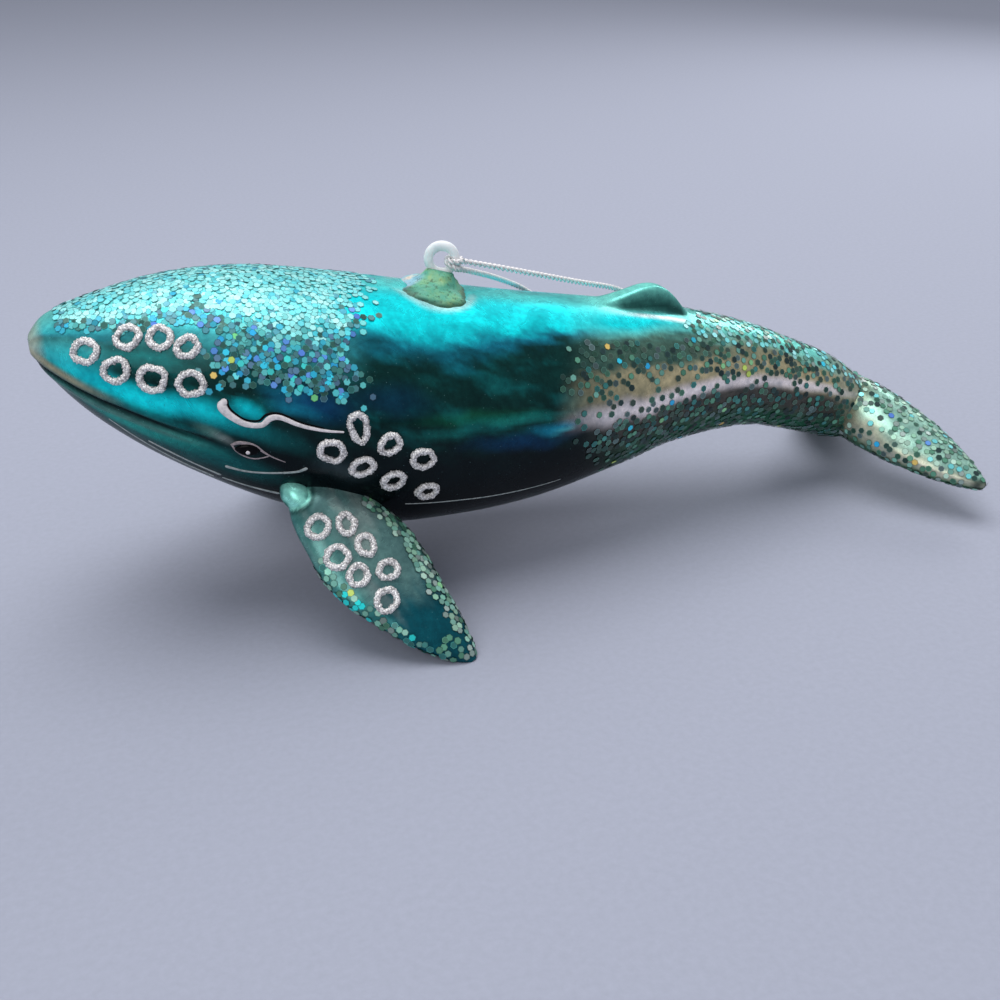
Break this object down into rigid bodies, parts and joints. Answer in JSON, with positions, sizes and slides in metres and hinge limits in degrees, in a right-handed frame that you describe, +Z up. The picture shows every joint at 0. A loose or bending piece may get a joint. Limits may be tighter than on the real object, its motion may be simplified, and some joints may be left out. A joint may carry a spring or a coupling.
{
  "type": "whale figurine",
  "caption": "Blown glass whale ornament with flippers, tail flukes, rows of raised glue rings, and a thread loop on its hanging ring.",
  "frame": {"origin": "on the surface that it stands on, under the middle of its length and width", "axes": "+X from the snout to the tail, +Y to the whale's right, +Z up"},
  "size_m": [0.16, 0.0776, 0.0554],
  "materials": {
    "lacquered_glass": "gloss lacquer over glitter flakes",
    "cement": "rough brushed paint over cement",
    "ring": "frosted, milky",
    "glitter_glue": "rough silver glitter glue",
    "thread": "silver metallic two-ply thread"
  },
  "bodies": {
    "root": {"body_shell": "lacquered_glass", "left_flipper": "lacquered_glass", "right_flipper": "lacquered_glass", "tail_flukes": "lacquered_glass", "cement_dome": "cement", "hanging_ring": "ring", "thread_hitch": "thread", "thread_upper_strand": "thread", "thread_lower_strand": "thread", "thread_knot": "thread", "left_head_glue_rings": "glitter_glue", "right_head_glue_rings": "glitter_glue", "left_flank_glue_rings": "glitter_glue", "right_flank_glue_rings": "glitter_glue", "left_flipper_glue_rings": "glitter_glue", "right_flipper_glue_rings": "glitter_glue"}
  },
  "joints": []
}
